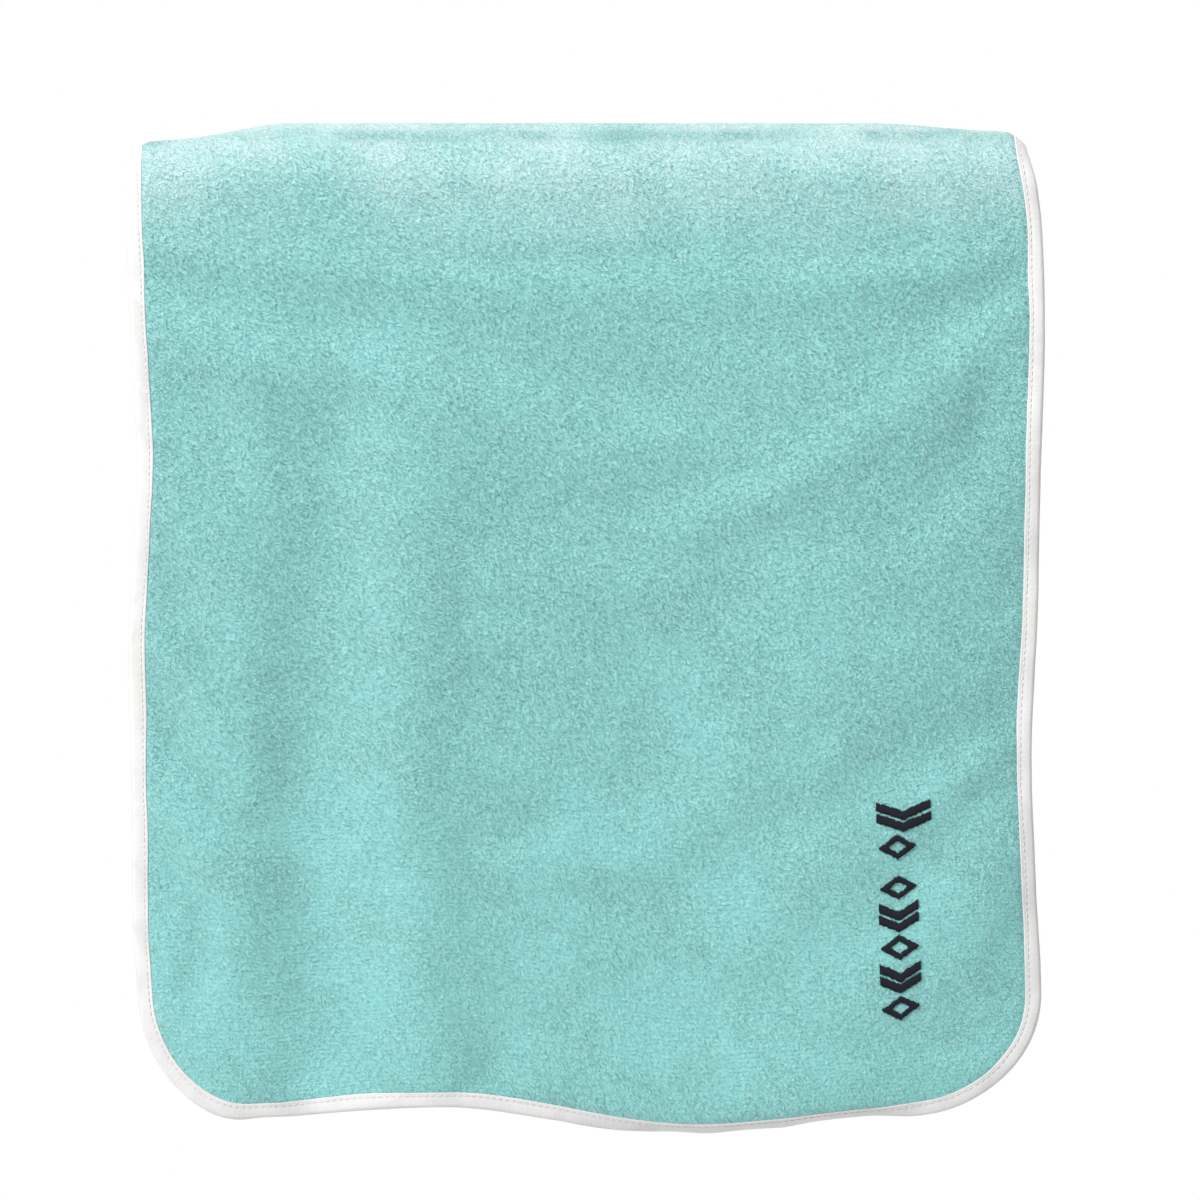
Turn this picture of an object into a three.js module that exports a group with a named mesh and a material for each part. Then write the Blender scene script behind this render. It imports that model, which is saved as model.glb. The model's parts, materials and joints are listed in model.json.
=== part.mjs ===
// A quick dry towel, hung over a round rail. One terry cloth with rounded corners is bound all round
// with folded tape, lockstitched through the tape, embroidered near one corner of the front and
// labelled at the back hem.
//
// Millimetres, +Z up. The origin is on the rail's axis: +X runs along the rail, and -Y is the side
// that faces a viewer.
//
// Every piece is drawn flat first and then hung. A place on the flat cloth is (across, along): across
// is the distance from the middle, and along is the distance over the cloth from the top of the rail,
// positive down the front flap and negative down the back flap. A lift is the distance out of the
// cloth's middle surface, positive outwards.
import * as THREE from "three";

// ---- sizes that can be set by themselves ----
const TOWEL_WIDTH = 450;
const FRONT_LENGTH = 507;
const BACK_LENGTH = 493;
const CORNER_RADIUS = 58;
const CLOTH_THICKNESS = 3;
const RAIL_RADIUS = 28.5;

const TAPE_THICKNESS = 0.6;
const TAPE_LEG = 8;
const TAPE_FOLD_CHAMFER = 0.3;

const THREAD_WIDTH = 0.8;
const THREAD_HEIGHT = 0.4;
const SEAM_INSET = 6.6;

const EMBROIDERY_HEIGHT = 0.8;
const MOTIF_ACROSS = 145.5;
const MOTIF_TO_FRONT_HEM = 156.5;
const MOTIF_STROKE = 4.4;
const MOTIF_HEIGHT = 19.5;
const TALL_MOTIF_HEIGHT = 27;
const CHEVRON_DEPTH = 5;
const DIAMOND_LENGTH = 12;
const MOTIF_GAP = 1.2;
const MOTIF_WORD_GAP = 8;

const LABEL_WIDTH = 28;
const LABEL_LENGTH = 42;
const LABEL_THICKNESS = 0.8;
const LABEL_ACROSS = 120;

const CLEARANCE = 0.3;
const LABEL_CLEARANCE = 0.6;

// ---- the bend line that lets the front flap lift ----
const BEND_ANGLE = THREE.MathUtils.degToRad(45);

// ---- what follows from those sizes ----
const HALF_CLOTH = CLOTH_THICKNESS / 2;
const MIDDLE_RADIUS = RAIL_RADIUS + HALF_CLOTH;
const QUARTER_TURN = (MIDDLE_RADIUS * Math.PI) / 2;
const BEND_ALONG = MIDDLE_RADIUS * BEND_ANGLE;
const TAPE_INSIDE = HALF_CLOTH + CLEARANCE;
const TAPE_OUTSIDE = TAPE_INSIDE + TAPE_THICKNESS;
const EDGE_INSET = TAPE_THICKNESS + CLEARANCE;
const BORDER = TAPE_LEG + 1;
const SEAM_INSIDE = TAPE_OUTSIDE + CLEARANCE;
const SEAM_OUTSIDE = SEAM_INSIDE + THREAD_HEIGHT;
// The fixed side stops short of the bend line by what turns about it, so that nothing touches as the
// flap lifts.
const CLOTH_STOP = TAPE_OUTSIDE;
const TAPE_STOP = TAPE_OUTSIDE + CLEARANCE + 0.1;
const SEAM_STOP = SEAM_OUTSIDE + CLEARANCE;
const SEAM_START = 0.5;

// ---- how the cloth hangs ----
// Where the cloth runs past the ends of its support, the crown sags.
const CROWN_SAGS = [
  { side: -1, starts: 145, ends: 224, drop: 8 },
  { side: 1, starts: 140, ends: 222, drop: 4.5 },
];
// Soft folds: the crest's place, how fast it leans as it goes down, its half width and its height.
const FRONT_FOLDS = [
  { across: -164, lean: 0.03, width: 25, height: 4.2 },
  { across: -121, lean: 0.045, width: 21, height: -3.8 },
  { across: -82, lean: 0.0, width: 26, height: 4.8 },
  { across: 5, lean: -0.02, width: 62, height: -2.6 },
  { across: 128, lean: 0.0, width: 52, height: 2.6 },
  { across: 226, lean: 0.0, width: 24, height: -4 },
];
const BACK_FOLDS = [
  { across: -130, lean: 0.03, width: 34, height: 4 },
  { across: -60, lean: 0.0, width: 30, height: -3 },
  { across: 70, lean: -0.03, width: 40, height: 3.5 },
  { across: 165, lean: 0.0, width: 34, height: -3 },
];
const FRONT_FOLDS_START = 25;
const BACK_FOLDS_START = 190;
const FOLDS_GROW_OVER = 130;
// The hem isn't level: it hangs lower right of the middle and is drawn up left of it.
const HEM_WAVES = [
  { across: -175, width: 32, drop: 4 },
  { across: -68, width: 45, drop: -5 },
  { across: 55, width: 75, drop: 13 },
  { across: 205, width: 32, drop: -3 },
];
// The side edges waver as they hang: the depth below the rail's axis, the stretch of edge that moves
// and how far out it goes.
const SIDE_WAVERS = [
  { side: -1, depth: 0, width: 62, out: 2.6 },
  { side: -1, depth: 140, width: 48, out: -3 },
  { side: -1, depth: 235, width: 40, out: 1.6 },
  { side: -1, depth: 425, width: 45, out: -3.5 },
  { side: 1, depth: -30, width: 30, out: -6 },
  { side: 1, depth: 70, width: 60, out: 2.4 },
  { side: 1, depth: 285, width: 58, out: -4 },
  { side: 1, depth: 400, width: 40, out: 1.2 },
];
// The lowest strip of the front hem turns back a little to the right of the drawn-up stretch.
const HEM_CURL_LENGTH = 26;
const HEM_CURL_DEPTH = 3.2;
const HEM_CURL_FROM = -80;
const HEM_CURL_TO = 70;

const bump = (distance, width) => Math.exp(-((distance / width) ** 2));
const ramp = (value, from, to) => THREE.MathUtils.smoothstep(value, from, to);

function crownSag(across, turned) {
  if (turned >= BEND_ANGLE) return 0;
  const share = ((Math.cos(turned) - Math.cos(BEND_ANGLE)) / (1 - Math.cos(BEND_ANGLE))) ** 2;
  const drop = (sag) => sag.drop * ramp(across * sag.side, sag.starts, sag.ends);
  return CROWN_SAGS.reduce((sum, sag) => sum + drop(sag), 0) * share;
}

function foldRelief(across, hanging, front) {
  const starts = front ? FRONT_FOLDS_START : BACK_FOLDS_START;
  const grown = ramp(hanging, starts, starts + FOLDS_GROW_OVER);
  const folds = front ? FRONT_FOLDS : BACK_FOLDS;
  const relief = (fold) => fold.height * bump(across - fold.across + fold.lean * hanging, fold.width);
  return folds.reduce((sum, fold) => sum + relief(fold), 0) * grown;
}

function hemDrop(across, hanging) {
  const share = (hanging / FRONT_LENGTH) ** 2;
  const drop = (wave) => wave.drop * bump(across - wave.across, wave.width);
  return HEM_WAVES.reduce((sum, wave) => sum + drop(wave), 0) * share;
}

function sideWaver(across, depth) {
  const share = (across / (TOWEL_WIDTH / 2)) ** 2;
  const here = SIDE_WAVERS.filter((waver) => waver.side * across > 0);
  const shift = (waver) => waver.side * waver.out * bump(depth - waver.depth, waver.width);
  return here.reduce((sum, waver) => sum + shift(waver), 0) * share;
}

function hemCurl(across, along) {
  const turned = Math.max(0, along - (FRONT_LENGTH - HEM_CURL_LENGTH)) / HEM_CURL_LENGTH;
  return HEM_CURL_DEPTH * turned ** 2 * ramp(across, HEM_CURL_FROM, HEM_CURL_TO);
}

// Where a place on the cloth's middle surface hangs.
function hang(across, along) {
  const front = along >= 0;
  const away = Math.abs(along);
  const turned = Math.min(away, QUARTER_TURN) / MIDDLE_RADIUS;
  const hanging = Math.max(0, away - QUARTER_TURN);
  const depth = hanging - MIDDLE_RADIUS * Math.cos(turned);
  const relief = foldRelief(across, hanging, front) - hemCurl(across, along);
  const standoff = MIDDLE_RADIUS * Math.sin(turned) + relief;
  return new THREE.Vector3(
    across + sideWaver(across, depth),
    front ? -standoff : standoff,
    -depth - crownSag(across, turned) - (front ? hemDrop(across, hanging) : 0),
  );
}

// The same place, lifted out of the middle surface.
function hangLifted(across, along, lift) {
  const step = 0.25;
  const over = hang(across + step, along).sub(hang(across - step, along));
  const down = hang(across, along + step).sub(hang(across, along - step));
  return hang(across, along).addScaledVector(down.cross(over).normalize(), lift);
}

// ---- drawing flat pieces ----
const evenly = (from, to, count) =>
  Array.from({ length: count + 1 }, (_, i) => from + ((to - from) * i) / count);
const CORNER_STEPS = 6;
const HANGING_STEPS = 15;
const HEM_STEPS = 14;
const CROWN_STEP = MIDDLE_RADIUS * THREE.MathUtils.degToRad(15);
const HALF_HEM = TOWEL_WIDTH / 2 - CORNER_RADIUS;
const lengthOf = (hem) => (hem > 0 ? FRONT_LENGTH : BACK_LENGTH);

// Rows down a flap, measured towards its hem (1 for the front, -1 for the back), that the cloth and its
// edging share. A row on the straight sides has its distance from the crown's top, and a row round a
// corner has its angle.
function rowsDown(hem, ends) {
  const straight = lengthOf(hem) - CORNER_RADIUS;
  const crown = evenly(-2.5 * CROWN_STEP, 2.5 * CROWN_STEP, 5).filter((along) => along > Math.max(...ends));
  const shoulder = evenly(CROWN_STEP * 3.5, QUARTER_TURN, 3);
  const hanging = evenly(QUARTER_TURN, straight, HANGING_STEPS).slice(1, -1);
  return [
    ...[...ends, ...crown, ...shoulder, ...hanging].map((along) => ({ along, angle: 0 })),
    ...evenly(0, Math.PI / 2, CORNER_STEPS).map((angle) => ({ angle })),
  ];
}

// Where a row meets the line that runs this far in from the towel's edge.
function rowEnd(row, hem, inset) {
  const radius = CORNER_RADIUS - inset;
  const round = lengthOf(hem) - CORNER_RADIUS + radius * Math.sin(row.angle);
  return { half: HALF_HEM + radius * Math.cos(row.angle), along: row.along ?? round };
}

// A geometry made in plain units is given its real place point by point.
function placed(geometry, place) {
  const at = geometry.getAttribute("position");
  for (let i = 0; i < at.count; i++) {
    const p = place(at.getX(i), at.getY(i), at.getZ(i));
    at.setXYZ(i, p.x, p.y, p.z);
  }
  geometry.computeVertexNormals();
  return geometry;
}

// A flap of cloth, from a box with one cell for each place. The outermost columns and the last row are
// a border just wider than the tape that covers it. thin(along) is half the cloth's thickness there.
function clothGeometry(hem, ends, thin) {
  const rows = rowsDown(hem, ends);
  const columns = HEM_STEPS + 2;
  const box = new THREE.BoxGeometry(columns, rows.length, 2, columns, rows.length, 1);
  return placed(box, (x, y, z) => {
    const column = Math.round(x + columns / 2);
    const line = Math.round(rows.length / 2 - y);
    const row = rows[Math.min(line, rows.length - 1)];
    const border = column === 0 || column === columns || line === rows.length;
    const { half, along } = rowEnd(row, hem, border ? EDGE_INSET : BORDER);
    const share = (2 * (column - 1)) / HEM_STEPS - 1;
    const across = half * THREE.MathUtils.clamp(share, -1, 1);
    return hangLifted(hem * across, hem * along, z * thin(along));
  });
}

// The towel's edge as places with their inward directions, down one side, round the hem and up the
// other side.
function edgeLine(hem, first) {
  const down = rowsDown(hem, [first]).map((row) => {
    const { half, along } = rowEnd(row, hem, 0);
    return [-half, along, Math.cos(row.angle), -Math.sin(row.angle)];
  });
  const up = down.map(([across, along, inAcross, inAlong]) => [-across, along, -inAcross, inAlong]).reverse();
  const straight = evenly(-HALF_HEM, HALF_HEM, HEM_STEPS).slice(1, -1);
  const bottom = straight.map((across) => [across, lengthOf(hem), 0, -1]);
  return [...down, ...bottom, ...up].map((place) => place.map((value) => hem * value));
}

// A section swept along the towel's edge: x is the distance in from the edge and y is the lift.
function edging(section, hem, first) {
  const line = edgeLine(hem, first);
  const steps = line.length - 1;
  const swept = new THREE.ExtrudeGeometry(section, { depth: steps, steps, bevelEnabled: false });
  return placed(swept, (x, y, z) => {
    const [across, along, inAcross, inAlong] = line[Math.round(z)];
    return hangLifted(across + x * inAcross, along + x * inAlong, y);
  });
}

const polygon = (points) => new THREE.Shape(points.map(([x, y]) => new THREE.Vector2(x, y)));

// ---- the cloth ----
// The front flap starts with a round edge centred on the bend line.
function frontFlapCloth() {
  const round = [0.97, 0.7].map((share) => BEND_ALONG - HALF_CLOTH * share);
  const thin = (along) => Math.sqrt(HALF_CLOTH ** 2 - Math.max(0, BEND_ALONG - along) ** 2);
  return clothGeometry(1, [...round, BEND_ALONG], thin);
}

function crownAndBackFlapCloth() {
  return clothGeometry(-1, [CLOTH_STOP - BEND_ALONG], () => HALF_CLOTH);
}

// ---- the binding tape, folded round the cloth's edge ----
function bindingTape(hem, first) {
  const section = polygon([
    [TAPE_LEG, TAPE_OUTSIDE],
    [TAPE_FOLD_CHAMFER, TAPE_OUTSIDE],
    [0, TAPE_OUTSIDE - TAPE_FOLD_CHAMFER],
    [0, TAPE_FOLD_CHAMFER - TAPE_OUTSIDE],
    [TAPE_FOLD_CHAMFER, -TAPE_OUTSIDE],
    [TAPE_LEG, -TAPE_OUTSIDE],
    [TAPE_LEG, -TAPE_INSIDE],
    [TAPE_THICKNESS, -TAPE_INSIDE],
    [TAPE_THICKNESS, TAPE_INSIDE],
    [TAPE_LEG, TAPE_INSIDE],
  ]);
  return edging(section, hem, first);
}

// ---- the lockstitch through the tape: the needle thread lies outside and the bobbin thread inside ----
function seamThread(face, hem, first) {
  const near = SEAM_INSET - THREAD_WIDTH / 2;
  const far = SEAM_INSET + THREAD_WIDTH / 2;
  const [low, high] = face > 0 ? [SEAM_INSIDE, SEAM_OUTSIDE] : [-SEAM_OUTSIDE, -SEAM_INSIDE];
  const section = polygon([
    [near, low],
    [far, low],
    [far, high],
    [near, high],
  ]);
  return edging(section, hem, first);
}

// ---- the embroidered motif: chevrons and diamonds that run down the cloth ----
// A shape's x goes across the towel and its y goes up it.
function chevronShape(height) {
  return polygon([
    [0, 0],
    [height / 2, -CHEVRON_DEPTH],
    [height, 0],
    [height, -MOTIF_STROKE],
    [height / 2, -CHEVRON_DEPTH - MOTIF_STROKE],
    [0, -MOTIF_STROKE],
  ]);
}

function diamondShape(height) {
  const centre = new THREE.Vector2(height / 2, -DIAMOND_LENGTH / 2);
  const corners = (share) => [
    [centre.x - (height / 2) * share, centre.y],
    [centre.x, centre.y - (DIAMOND_LENGTH / 2) * share],
    [centre.x + (height / 2) * share, centre.y],
    [centre.x, centre.y + (DIAMOND_LENGTH / 2) * share],
  ];
  const shape = polygon(corners(1));
  const eye = 1 - (1.4 * MOTIF_STROKE) / DIAMOND_LENGTH;
  shape.holes.push(polygon(corners(eye)));
  return shape;
}

const MOTIF_RUN = [
  { kind: "chevron", height: TALL_MOTIF_HEIGHT },
  { kind: "chevron", height: TALL_MOTIF_HEIGHT },
  { kind: "diamond", height: MOTIF_HEIGHT, gapAfter: MOTIF_WORD_GAP },
  { kind: "diamond", height: MOTIF_HEIGHT },
  { kind: "chevron", height: MOTIF_HEIGHT },
  { kind: "chevron", height: MOTIF_HEIGHT },
  { kind: "diamond", height: MOTIF_HEIGHT },
  { kind: "chevron", height: MOTIF_HEIGHT },
  { kind: "chevron", height: MOTIF_HEIGHT },
  { kind: "diamond", height: MOTIF_HEIGHT },
];

// A chevron nests in the one above it, so it takes up only its stroke and the gap.
function motifLength(kind, next) {
  if (kind === "diamond") return DIAMOND_LENGTH;
  return next === "chevron" ? MOTIF_STROKE : MOTIF_STROKE + CHEVRON_DEPTH;
}

function embroidery(shape, start) {
  const solid = new THREE.ExtrudeGeometry(shape, { depth: EMBROIDERY_HEIGHT, bevelEnabled: false });
  const base = HALF_CLOTH + CLEARANCE;
  return placed(solid, (x, y, z) => hangLifted(MOTIF_ACROSS + x, start - y, base + z));
}

// ---- the care label, sewn in under the tape on the inside of the back hem ----
function careLabel() {
  const box = new THREE.BoxGeometry(LABEL_WIDTH, LABEL_LENGTH, LABEL_THICKNESS, 4, 6, 1);
  const hemGap = TAPE_LEG + CLEARANCE;
  const middle = -(BACK_LENGTH - hemGap - LABEL_LENGTH / 2);
  const lift = -(HALF_CLOTH + LABEL_CLEARANCE + LABEL_THICKNESS / 2);
  return placed(box, (x, y, z) => hangLifted(LABEL_ACROSS + x, middle - y, lift + z));
}

// ---- the parts and their materials ----
const terry = new THREE.MeshStandardMaterial({ color: 0x8fccc9, roughness: 1, metalness: 0 });
const tape = new THREE.MeshStandardMaterial({ color: 0xf0efed, roughness: 0.85, metalness: 0 });
const seam = new THREE.MeshStandardMaterial({ color: 0xf5f5f3, roughness: 0.6, metalness: 0 });
const navy = new THREE.MeshStandardMaterial({ color: 0x1b1c2e, roughness: 0.7, metalness: 0 });
const satin = new THREE.MeshStandardMaterial({ color: 0xf2f2f0, roughness: 0.5, metalness: 0 });

const towel = new THREE.Group();

function add(name, geometry, material) {
  const mesh = new THREE.Mesh(geometry, material);
  mesh.name = name;
  towel.add(mesh);
}

add("terry_front_flap", frontFlapCloth(), terry);
add("terry_crown_and_back_flap", crownAndBackFlapCloth(), terry);

const FLAPS = [
  { name: "front", hem: 1, tapeFrom: BEND_ALONG, seamFrom: BEND_ALONG + SEAM_START },
  { name: "back", hem: -1, tapeFrom: TAPE_STOP - BEND_ALONG, seamFrom: SEAM_STOP - BEND_ALONG },
];
for (const flap of FLAPS) {
  add(`binding_tape_${flap.name}`, bindingTape(flap.hem, flap.tapeFrom), tape);
  add(`needle_thread_${flap.name}`, seamThread(1, flap.hem, flap.seamFrom), seam);
  add(`bobbin_thread_${flap.name}`, seamThread(-1, flap.hem, flap.seamFrom), seam);
}

let start = FRONT_LENGTH - MOTIF_TO_FRONT_HEM;
const counts = { chevron: 0, diamond: 0 };
MOTIF_RUN.forEach(({ kind, height, gapAfter = MOTIF_GAP }, i) => {
  counts[kind] += 1;
  const shape = kind === "chevron" ? chevronShape(height) : diamondShape(height);
  add(`embroidered_${kind}_${counts[kind]}`, embroidery(shape, start), navy);
  start += motifLength(kind, MOTIF_RUN[i + 1]?.kind) + gapAfter;
});

add("care_label", careLabel(), satin);

export default towel;
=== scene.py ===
"""Quick dry towel: the cloth, bound edge, stitching, embroidery and label of a terry towel over a rail.

Each piece is drawn flat, as it is cut and sewn, and is then hung. On the flat cloth +X goes across
the towel, +Y goes up it from the front hem, over the top of the rail at Y = 0, to the back hem, and
+Z stands out of its face. All sizes are in metres.
"""

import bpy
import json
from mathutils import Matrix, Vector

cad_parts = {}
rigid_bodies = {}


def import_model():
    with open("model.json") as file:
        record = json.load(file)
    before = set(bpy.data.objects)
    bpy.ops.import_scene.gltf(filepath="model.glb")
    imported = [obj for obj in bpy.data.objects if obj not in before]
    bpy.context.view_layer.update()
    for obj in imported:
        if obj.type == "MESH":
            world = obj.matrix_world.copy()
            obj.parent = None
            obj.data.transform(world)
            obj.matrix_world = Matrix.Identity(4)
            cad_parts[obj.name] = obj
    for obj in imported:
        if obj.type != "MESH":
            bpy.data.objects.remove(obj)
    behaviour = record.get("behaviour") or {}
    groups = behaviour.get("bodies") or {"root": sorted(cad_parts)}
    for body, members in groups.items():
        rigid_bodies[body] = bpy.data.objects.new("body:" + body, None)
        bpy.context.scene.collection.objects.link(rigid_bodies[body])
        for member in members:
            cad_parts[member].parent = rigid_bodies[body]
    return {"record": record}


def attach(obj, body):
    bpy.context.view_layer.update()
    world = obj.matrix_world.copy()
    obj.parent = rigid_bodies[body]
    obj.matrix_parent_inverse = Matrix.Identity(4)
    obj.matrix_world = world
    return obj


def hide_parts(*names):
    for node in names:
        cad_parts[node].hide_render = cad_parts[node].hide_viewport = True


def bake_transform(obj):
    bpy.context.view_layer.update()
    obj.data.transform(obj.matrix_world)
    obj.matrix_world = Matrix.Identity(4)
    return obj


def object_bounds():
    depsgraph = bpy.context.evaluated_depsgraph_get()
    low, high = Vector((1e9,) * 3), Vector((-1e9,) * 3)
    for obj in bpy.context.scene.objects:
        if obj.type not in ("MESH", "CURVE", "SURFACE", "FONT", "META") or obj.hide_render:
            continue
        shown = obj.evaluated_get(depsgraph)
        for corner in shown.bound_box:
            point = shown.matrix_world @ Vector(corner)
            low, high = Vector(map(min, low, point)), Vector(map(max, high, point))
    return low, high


bl_info = {
    "name": "Quick Dry Towel",
    "version": (1, 0, 0),
    "blender": (4, 5, 0),
    "location": "View3D > Sidebar > Towel",
    "description": "Builds a bound terry towel with an embroidered motif, hung over a rail",
    "category": "Add Mesh",
}

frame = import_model()

import json
import math

import bmesh
import bpy
import numpy as np
from mathutils import Matrix, Vector, noise

MM = 0.001
CAD_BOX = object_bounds()
HELD, FLAP = "held_cloth", "front_flap"
# From the cloth's middle to the tape's face, and the metres of seam to a unit of its UV map.
TAPE_FACE = 1.72 * MM
SEAM_PER_UV = 3
# The rail seat is the middle facet of a half cylinder whose facets are 15 degrees wide.
SEAT = next(mount for mount in frame["record"]["mounts"] if mount["name"] == "rail_seat")
RAIL_RADIUS = SEAT["pos_m"][2] / math.cos(math.radians(7.5))


# ---- sizes and colours ----
def length(label, note, value):
    return bpy.props.FloatProperty(
        name=label, description=note, default=value, min=0.0, precision=5, unit="LENGTH"
    )


def colour(label, note, value):
    return bpy.props.FloatVectorProperty(
        name=label, description=note, default=value, min=0.0, max=1.0, size=3, subtype="COLOR"
    )


def amount(label, note, value):
    return bpy.props.FloatProperty(name=label, description=note, default=value)


def turn(label, note, degrees):
    return bpy.props.FloatProperty(
        name=label, description=note, default=math.radians(degrees), subtype="ANGLE"
    )


class TowelCut(bpy.types.PropertyGroup):
    width: length("Width", "Across the towel", 0.450)
    front_length: length("Front", "From the top of the rail to the front hem, over the cloth", 0.507)
    back_length: length("Back", "From the top of the rail to the back hem, over the cloth", 0.493)
    corner_radius: length("Corner radius", "Of the cut cloth's corners", 0.058)
    rail_radius: length("Rail radius", "Of the rail that the crown fits", RAIL_RADIUS)
    cloth_thickness: length("Cloth thickness", "Of the cloth where it lies round the rail", 3.0 * MM)
    pile_thickness: length("Pile thickness", "Through the free pile on both faces", 3.5 * MM)
    pressed_thickness: length("Pressed thickness", "Through the cloth inside the tape", 2.4 * MM)
    cell: length("Cell", "Of the cloth's mesh", 3.3 * MM)


class TowelSettling(bpy.types.PropertyGroup):
    cell: length("Cell", "Of the simulated cloth", 6.0 * MM)
    frames: bpy.props.IntProperty(name="Frames", description="Of cloth simulation", default=24)
    furthest: length("Furthest", "That settling may move a place", 6.0 * MM)
    widest: length("Widest", "Rumple that settling may make", 22.0 * MM)
    edge_shrink: amount("Edge shrink", "How much shorter the sewn edge is than the cloth", 0.018)
    slack: amount("Slack", "How much longer the free cloth is than its place", 0.004)


class TowelTape(bpy.types.PropertyGroup):
    leg: length("Leg", "From the folded edge to the tape's own edge", 8.0 * MM)
    thickness: length("Thickness", "Of the tape", 0.45 * MM)
    seam_inset: length("Seam inset", "From the folded edge to the stitches", 6.2 * MM)
    stitch_pitch: length("Stitch pitch", "From one stitch hole to the next", 3.3 * MM)
    thread_radius: length("Thread radius", "Of the sewing thread", 0.2 * MM)
    lap: length("Lap", "Where the tape's end lies over its start", 16.0 * MM)


class TowelMotif(bpy.types.PropertyGroup):
    across: length("Across", "From the towel's middle to the motif's left side", 145.5 * MM)
    to_hem: length("To the hem", "From the motif's top to the front hem", 156.5 * MM)
    stroke: length("Stroke", "Length of a satin stitch", 4.4 * MM)
    height: length("Height", "Of a shape, across the towel", 19.5 * MM)
    tall_height: length("Tall height", "Of the first shapes", 27.0 * MM)
    chevron_depth: length("Chevron depth", "From a chevron's ends to its point", 5.0 * MM)
    diamond_length: length("Diamond length", "Down the towel", 12.0 * MM)
    gap: length("Gap", "Between two shapes", 1.2 * MM)
    group_gap: length("Group gap", "After the first group of shapes", 8.0 * MM)
    strand_pitch: length("Strand pitch", "From one satin stitch to the next", 0.42 * MM)
    strand_radius: length("Strand radius", "Of the embroidery thread", 0.27 * MM)
    rise: length("Rise", "Of the satin stitches above the cloth's middle", 1.95 * MM)


class TowelLabel(bpy.types.PropertyGroup):
    width: length("Width", "Of the care label", 28.0 * MM)
    length: length("Length", "Of the care label", 42.0 * MM)
    thickness: length("Thickness", "Of the folded ribbon", 0.5 * MM)
    across: length("Across", "From the towel's middle to the label's", 120.0 * MM)
    lift: length("Lift", "From the cloth's middle to the label, at its sewn end", 2.3 * MM)
    curl: length("Curl", "How far its free end stands off", 3.0 * MM)


class TowelColours(bpy.types.PropertyGroup):
    terry: colour("Terry", "Of the pile's sides", (0.245, 0.590, 0.570))
    # Painted shade between the loops, and painted light on the loops' tips:
    terry_deep: colour("Deep terry", "Between the loops", (0.125, 0.375, 0.365))
    terry_tip: colour("Terry tips", "Of the loops' tips", (0.400, 0.800, 0.775))
    # Painted sheen: whiter where light grazes the pile over the rail.
    terry_frost: colour("Terry frost", "Of the pile opened over the rail", (0.70, 0.84, 0.85))
    crown_at: length("Crown at", "Up the flat cloth from the front hem", 0.507)
    tape: colour("Tape", "Of the binding tape", (0.665, 0.660, 0.652))
    thread: colour("Thread", "Of the seam's threads", (0.69, 0.69, 0.68))
    navy: colour("Navy", "Of the embroidery", (0.0055, 0.0075, 0.017))
    label: colour("Label", "Of the care label", (0.88, 0.88, 0.87))


class TowelStudio(bpy.types.PropertyGroup):
    rail_height: length("Rail height", "Of the rail's axis above the floor", 1.4)
    floor_size: length("Floor size", "Along each side", 12.0)
    camera_distance: length("Camera distance", "From the front flap", 4.0)
    frame_width: length("Frame width", "That the camera sees at the front flap", 0.593)
    aim_across: length("Aim across", "From the towel's middle to the view's", 7.2 * MM)
    aim_up: length("Aim up", "From the towel's middle to the view's", 15.0 * MM)
    elevation: turn("Elevation", "Of the camera above the view's middle", 1.5)
    ambient: amount("Ambient", "Strength of the light from all round", 0.37)
    key: amount("Key", "Watts of the large light at the upper left", 190.0)
    fill: amount("Fill", "Watts of the light at the right", 14.0)
    top: amount("Top", "Watts of the light above", 9.5)
    back: amount("Back", "Watts of the light behind", 38.0)


# ---- how the cloth hangs, in millimetres ----
# Where the cloth runs past its support, the crown sags: side, start, end and drop.
CROWN_SAGS = [(-1, 145, 224, 8.0), (1, 140, 222, 4.5)]
# Soft folds: across, lean, half width and height.
FRONT_FOLDS = [
    (-164, 0.03, 25, 4.2),
    (-121, 0.045, 21, -3.8),
    (-82, 0.0, 26, 4.8),
    (5, -0.02, 62, -2.6),
    (128, 0.0, 52, 2.6),
    (226, 0.0, 24, -4.0),
]
BACK_FOLDS = [(-130, 0.03, 34, 4.0), (-60, 0.0, 30, -3.0), (70, -0.03, 40, 3.5), (165, 0.0, 34, -3.0)]
FOLDS_START = {"front": 25, "back": 190}
FOLDS_GROW_OVER = 130
# Waves of the front hem: across, half width and drop.
HEM_WAVES = [(-175, 32, 4.0), (-68, 45, -5.0), (55, 75, 13.0), (205, 32, -3.0)]
# Wavering side edges: side, depth below the rail's axis, stretch of edge and distance out.
SIDE_WAVERS = [
    (-1, 0, 62, 2.6),
    (-1, 140, 48, -3.0),
    (-1, 235, 40, 1.6),
    (-1, 425, 45, -3.5),
    (1, -30, 30, -6.0),
    (1, 70, 60, 2.4),
    (1, 285, 58, -4.0),
    (1, 400, 40, 1.2),
]
HEM_CURL_LENGTH = 26
HEM_CURL_DEPTH = 3.2
HEM_CURL_RAMP = (-80, 70)
# Beyond the support's ends the sewn edge turns down: how far at the very top, the share of that
# which is left at the front and the back, between which distances in from the edge it bends, and
# how far down the front and the back it comes straight again.
TURNED_DOWN = math.radians(42)
TURNED_AT_SIDES = 0.25
TURN_INSETS = (12, 7)
TURN_FADES = {"front": (50, 110), "back": (48, 100)}
# The whole crown droops at its left end: where it starts, where it ends and its drop.
CROWN_DROOP = (-150, -226, 4.6)
# The right of the front hem rolls back, and drops a little.
HEM_ROLL = math.radians(58)
HEM_ROLL_INSETS = (12, 6)
HEM_ROLL_STARTS, HEM_ROLL_ENDS = (-20, 50), (140, 178)
HEM_ROLL_DROP = 2.4
# An angle too small to bend a strip.
STRAIGHT = 1e-4
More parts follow.
